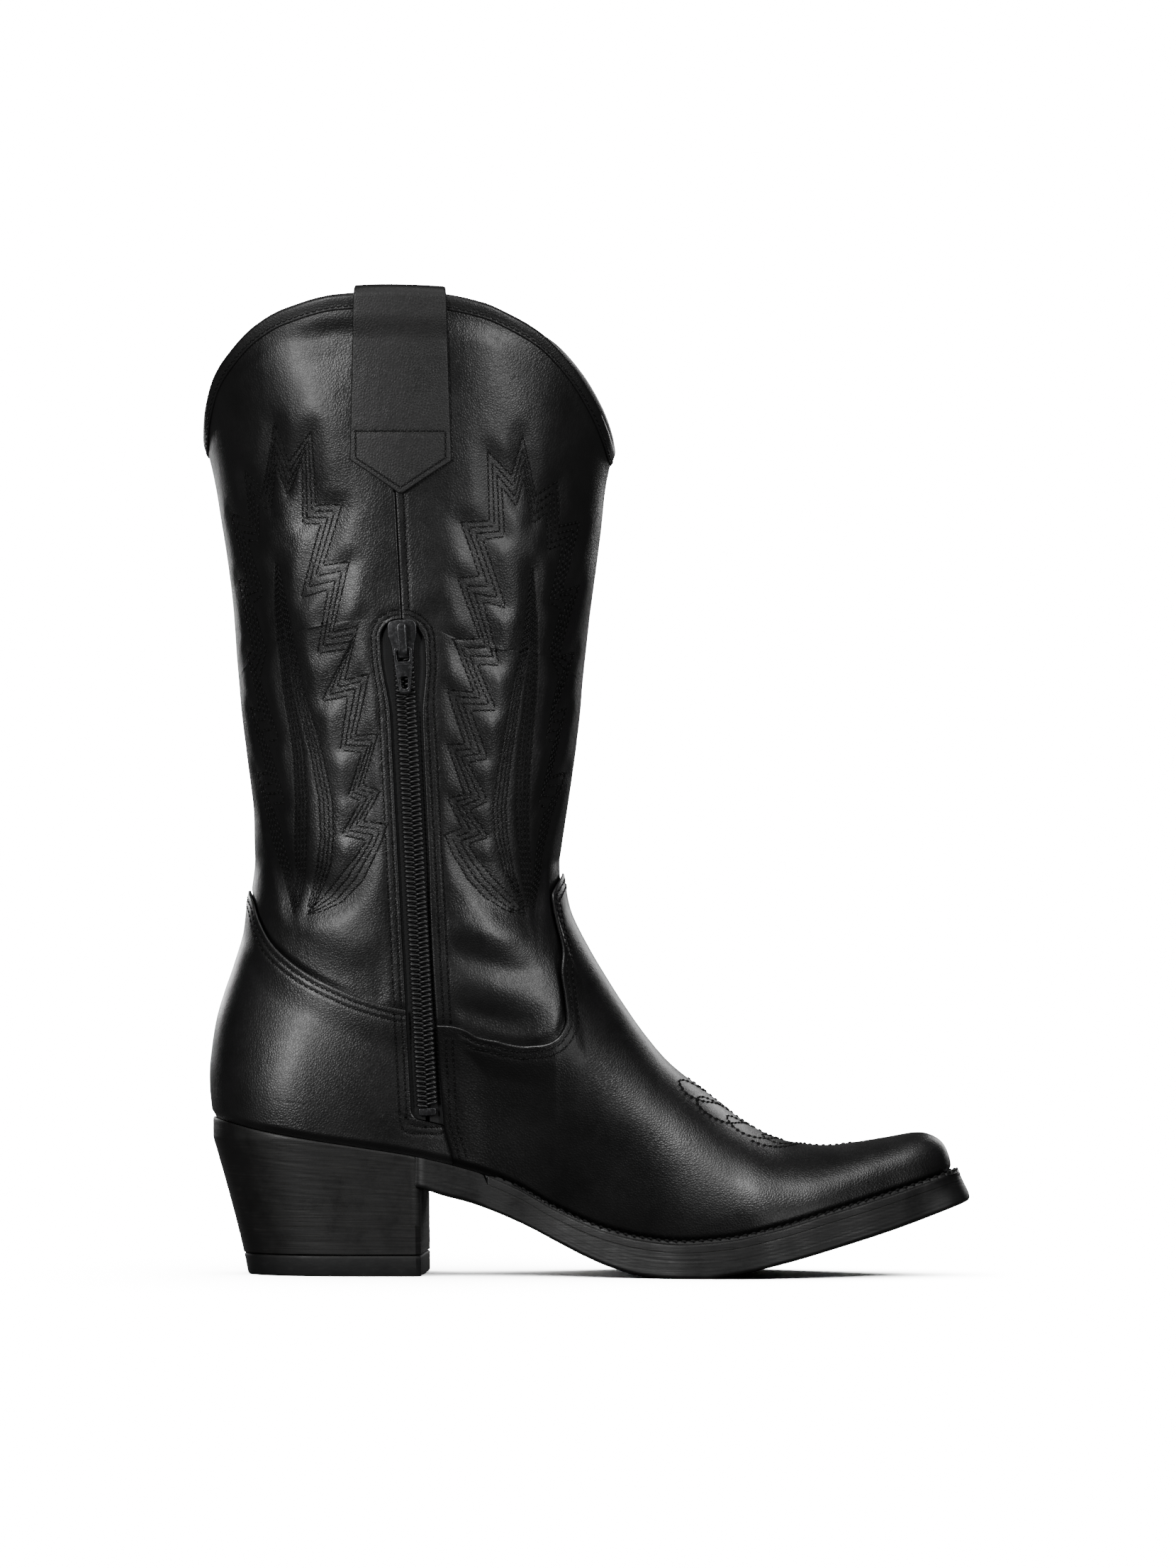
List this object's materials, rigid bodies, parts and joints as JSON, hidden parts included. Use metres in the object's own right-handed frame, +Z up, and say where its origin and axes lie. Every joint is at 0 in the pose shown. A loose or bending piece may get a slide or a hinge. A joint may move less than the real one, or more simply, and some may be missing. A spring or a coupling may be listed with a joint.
{
  "type": "cowboy boot",
  "caption": "Left ankle-to-calf leather cowboy boot with scalloped top, pull straps, side zip, welted sole and block heel.",
  "frame": {"origin": "on the ground, at the middle of the boot's bounding box", "axes": "+X towards the toe, +Z up, -Y the inner side with the zip"},
  "size_m": [0.2812, 0.1098, 0.3608],
  "materials": {
    "upper_leather": "smooth black calf with a fine pebble grain and a soft shine",
    "strap_leather": "black leather, slightly duller, folded edges",
    "lining_leather": "matt dark lining leather",
    "fibre_board": "matt fibre board",
    "cork": "matt granular cork",
    "sole_rubber": "satin black rubber with fine scratches along the edge",
    "heel_stack": "black stacked look with fine level lines",
    "steel": "plain steel",
    "zip_tape": "fine woven black tape",
    "zip_teeth": "moulded black coil",
    "zip_metal": "black painted die casting, glossy"
  },
  "bodies": {
    "boot": {"top_lift": "sole_rubber", "heel_block": "heel_stack", "outsole": "sole_rubber", "welt": "sole_rubber", "heel_screw": "steel", "heel_nail_1": "steel", "heel_nail_2": "steel", "heel_nail_3": "steel", "heel_nail_4": "steel", "insole_board": "fibre_board", "shank": "steel", "bottom_filler": "cork", "sock_liner": "lining_leather", "heel_pad": "cork", "counter_stiffener": "fibre_board", "toe_puff": "fibre_board", "vamp": "upper_leather", "counter_cover": "upper_leather", "shaft_front": "upper_leather", "shaft_back": "upper_leather", "lining_front": "lining_leather", "lining_back": "lining_leather", "vamp_lining": "lining_leather", "heel_lining": "lining_leather", "pull_strap_medial": "strap_leather", "pull_strap_lateral": "strap_leather", "top_binding_front": "strap_leather", "top_binding_back": "strap_leather", "seam_tape_lateral": "zip_tape", "seam_tape_medial": "zip_tape", "zip_tape_front": "zip_tape", "zip_tape_back": "zip_tape", "zip_coil_front": "zip_teeth", "zip_coil_back": "zip_teeth", "bottom_stop": "zip_metal", "top_stop_front": "zip_metal", "top_stop_back": "zip_metal", "zip_guard": "lining_leather"},
    "slider": {"slider_body": "zip_metal"},
    "puller": {"puller": "zip_metal"}
  },
  "joints": [
    {"name": "slider_slide", "type": "slide", "parent": "boot", "child": "slider", "axis": [0.0469, 0.0745, -0.9961], "range_m": [0, 0.156]},
    {"name": "puller_hinge", "type": "hinge", "parent": "slider", "child": "puller", "pos_m": [-0.06484, -0.04468, 0.22826], "axis": [-0.9989, 0, -0.0471], "range_deg": [0, 145]}
  ]
}
